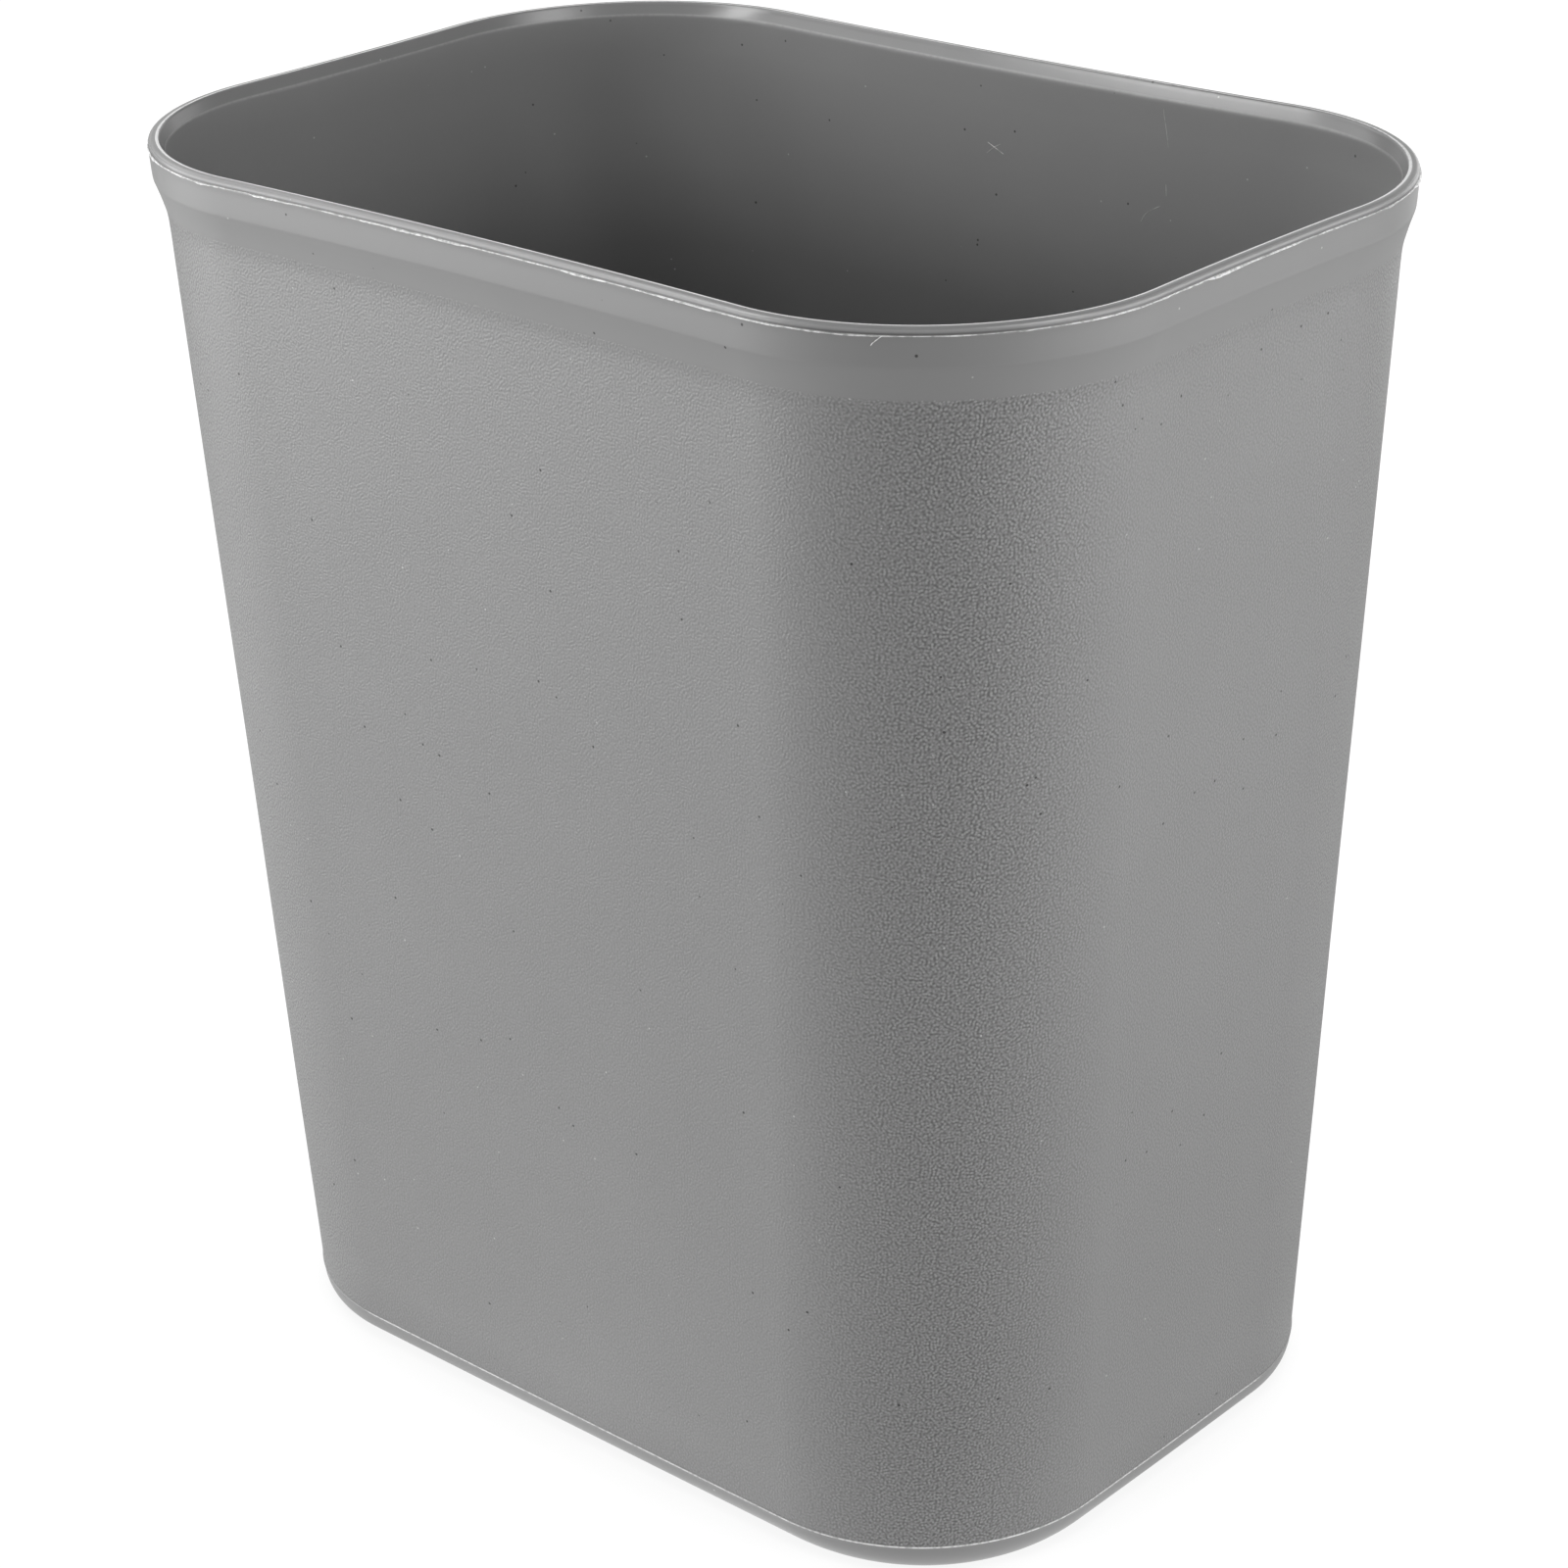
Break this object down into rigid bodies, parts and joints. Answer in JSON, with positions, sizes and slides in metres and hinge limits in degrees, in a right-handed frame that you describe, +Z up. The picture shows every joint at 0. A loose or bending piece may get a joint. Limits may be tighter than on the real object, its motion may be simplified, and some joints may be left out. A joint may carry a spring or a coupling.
{
  "type": "wastebasket",
  "caption": "Open rectangular office wastebasket, tapered, with rounded corners, a collared lip at the rim and a pebbled outside.",
  "frame": {"origin": "middle of the outline on the floor contact plane", "axes": "+Z up; X along the long sides, so the short ends face -X and +X; the long sides face -Y and +Y"},
  "size_m": [0.3462, 0.2416, 0.381],
  "materials": {
    "grey_plastic": "mid grey moulded polyethylene: fine pebble grain on the outer wall, smooth collar, lip, foot and inside"
  },
  "bodies": {
    "root": {"basket_body": "grey_plastic"}
  },
  "joints": []
}
